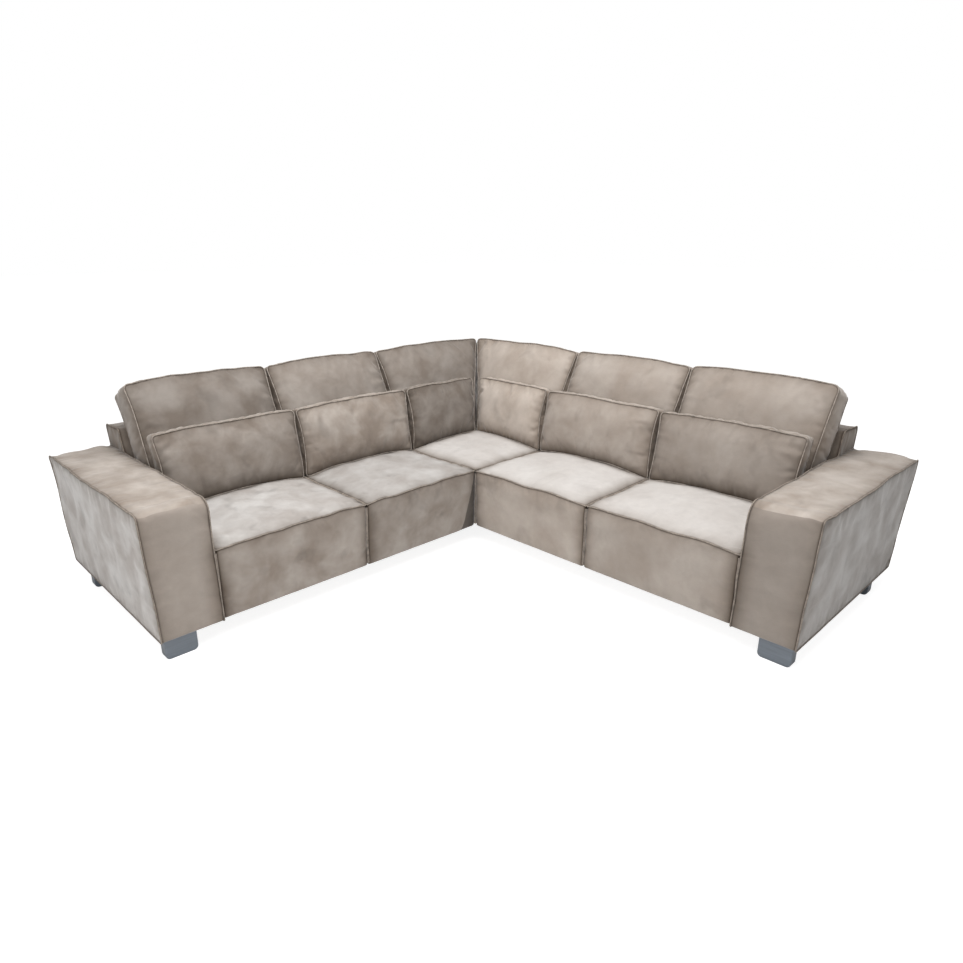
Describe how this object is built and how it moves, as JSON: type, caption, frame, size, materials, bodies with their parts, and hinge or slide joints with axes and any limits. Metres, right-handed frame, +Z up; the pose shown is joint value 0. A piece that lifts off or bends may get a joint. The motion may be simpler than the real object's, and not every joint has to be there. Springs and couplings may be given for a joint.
{
  "type": "corner sofa",
  "caption": "Corner sofa with equal wings, wide welted arms, a low sloping back, loose back and lumbar cushions in velvet, and metallic block feet.",
  "frame": {"origin": "on the floor, at the centre of the square that the sofa fills", "axes": "+Z up; the outer back corner lies at +X +Y, the left wing runs along X with its back towards +Y, and the right wing runs along Y with its back towards +X"},
  "size_m": [2.6984, 2.6984, 0.9128],
  "materials": {
    "seat_velvet": "light taupe velvet, brushed by use",
    "body_velvet": "taupe velvet with a mottled nap",
    "back_cushion_velvet": "taupe velvet with a mottled nap",
    "lumbar_cushion_velvet": "taupe velvet with dark welts",
    "foam": "cut upholstery foam",
    "timber": "planed softwood",
    "board": "raw board",
    "spring_steel": "oiled spring wire",
    "zinc_steel": "zinc plated",
    "dust_cloth": "black non-woven cloth",
    "foot_finish": "satin silver blue-grey",
    "support_foot_finish": "matt black"
  },
  "bodies": {
    "sofa": {"left_end_seat_cover": "seat_velvet", "right_end_seat_cover": "seat_velvet", "left_inner_seat_cover": "seat_velvet", "right_inner_seat_cover": "seat_velvet", "left_end_seat_foam": "foam", "right_end_seat_foam": "foam", "left_inner_seat_foam": "foam", "right_inner_seat_foam": "foam", "left_back_cover": "body_velvet", "right_back_cover": "body_velvet", "left_corner_back_cover": "body_velvet", "right_corner_back_cover": "body_velvet", "left_back_frame": "timber", "right_back_frame": "timber", "left_arm_cover": "body_velvet", "right_arm_cover": "body_velvet", "left_arm_pad": "foam", "right_arm_pad": "foam", "left_arm_frame": "board", "right_arm_frame": "board", "left_front_rail": "timber", "right_front_rail": "timber", "left_rear_rail": "timber", "right_rear_rail": "timber", "left_cross_rails": "timber", "right_cross_rails": "timber", "left_seat_springs": "spring_steel", "right_seat_springs": "spring_steel", "left_dust_cloth": "dust_cloth", "right_dust_cloth": "dust_cloth", "left_front_foot": "foot_finish", "right_front_foot": "foot_finish", "left_rear_foot": "foot_finish", "right_rear_foot": "foot_finish", "corner_seat_cover": "seat_velvet", "corner_seat_foam": "foam", "corner_back_frame": "timber", "back_coach_screws": "zinc_steel", "corner_rails": "timber", "frame_bolts": "zinc_steel", "frame_nuts": "zinc_steel", "corner_dust_cloth": "dust_cloth", "corner_seat_springs": "spring_steel", "spring_clips": "zinc_steel", "support_feet": "support_foot_finish", "foot_studs": "zinc_steel"},
    "left_back_cushion_end": {"left_back_cushion_end": "back_cushion_velvet"},
    "left_back_cushion_middle": {"left_back_cushion_middle": "back_cushion_velvet"},
    "left_back_cushion_corner": {"left_back_cushion_corner": "back_cushion_velvet"},
    "left_lumbar_cushion_end": {"left_lumbar_cushion_end": "lumbar_cushion_velvet"},
    "left_lumbar_cushion_middle": {"left_lumbar_cushion_middle": "lumbar_cushion_velvet"},
    "left_lumbar_cushion_corner": {"left_lumbar_cushion_corner": "lumbar_cushion_velvet"},
    "right_back_cushion_end": {"right_back_cushion_end": "back_cushion_velvet"},
    "right_back_cushion_middle": {"right_back_cushion_middle": "back_cushion_velvet"},
    "right_back_cushion_corner": {"right_back_cushion_corner": "back_cushion_velvet"},
    "right_lumbar_cushion_end": {"right_lumbar_cushion_end": "lumbar_cushion_velvet"},
    "right_lumbar_cushion_middle": {"right_lumbar_cushion_middle": "lumbar_cushion_velvet"},
    "right_lumbar_cushion_corner": {"right_lumbar_cushion_corner": "lumbar_cushion_velvet"}
  },
  "joints": [
    {"name": "left_back_cushion_end_lift", "type": "slide", "parent": "sofa", "child": "left_back_cushion_end", "axis": [0, 0.4384, 0.8988], "range_m": [0, 0.35]},
    {"name": "left_back_cushion_middle_lift", "type": "slide", "parent": "sofa", "child": "left_back_cushion_middle", "axis": [0, 0.4384, 0.8988], "range_m": [0, 0.35]},
    {"name": "left_back_cushion_corner_lift", "type": "slide", "parent": "sofa", "child": "left_back_cushion_corner", "axis": [0, 0.4384, 0.8988], "range_m": [0, 0.35]},
    {"name": "left_lumbar_cushion_end_lift", "type": "slide", "parent": "sofa", "child": "left_lumbar_cushion_end", "axis": [0, 0.1702, 0.9854], "range_m": [0, 0.3]},
    {"name": "left_lumbar_cushion_middle_lift", "type": "slide", "parent": "sofa", "child": "left_lumbar_cushion_middle", "axis": [0, 0.1702, 0.9854], "range_m": [0, 0.3]},
    {"name": "left_lumbar_cushion_corner_lift", "type": "slide", "parent": "sofa", "child": "left_lumbar_cushion_corner", "axis": [0, 0.1702, 0.9854], "range_m": [0, 0.3]},
    {"name": "right_back_cushion_end_lift", "type": "slide", "parent": "sofa", "child": "right_back_cushion_end", "axis": [0.4384, 0, 0.8988], "range_m": [0, 0.35]},
    {"name": "right_back_cushion_middle_lift", "type": "slide", "parent": "sofa", "child": "right_back_cushion_middle", "axis": [0.4384, 0, 0.8988], "range_m": [0, 0.35]},
    {"name": "right_back_cushion_corner_lift", "type": "slide", "parent": "sofa", "child": "right_back_cushion_corner", "axis": [0.4384, 0, 0.8988], "range_m": [0, 0.35]},
    {"name": "right_lumbar_cushion_end_lift", "type": "slide", "parent": "sofa", "child": "right_lumbar_cushion_end", "axis": [0.1702, 0, 0.9854], "range_m": [0, 0.3]},
    {"name": "right_lumbar_cushion_middle_lift", "type": "slide", "parent": "sofa", "child": "right_lumbar_cushion_middle", "axis": [0.1702, 0, 0.9854], "range_m": [0, 0.3]},
    {"name": "right_lumbar_cushion_corner_lift", "type": "slide", "parent": "sofa", "child": "right_lumbar_cushion_corner", "axis": [0.1702, 0, 0.9854], "range_m": [0, 0.3]}
  ]
}
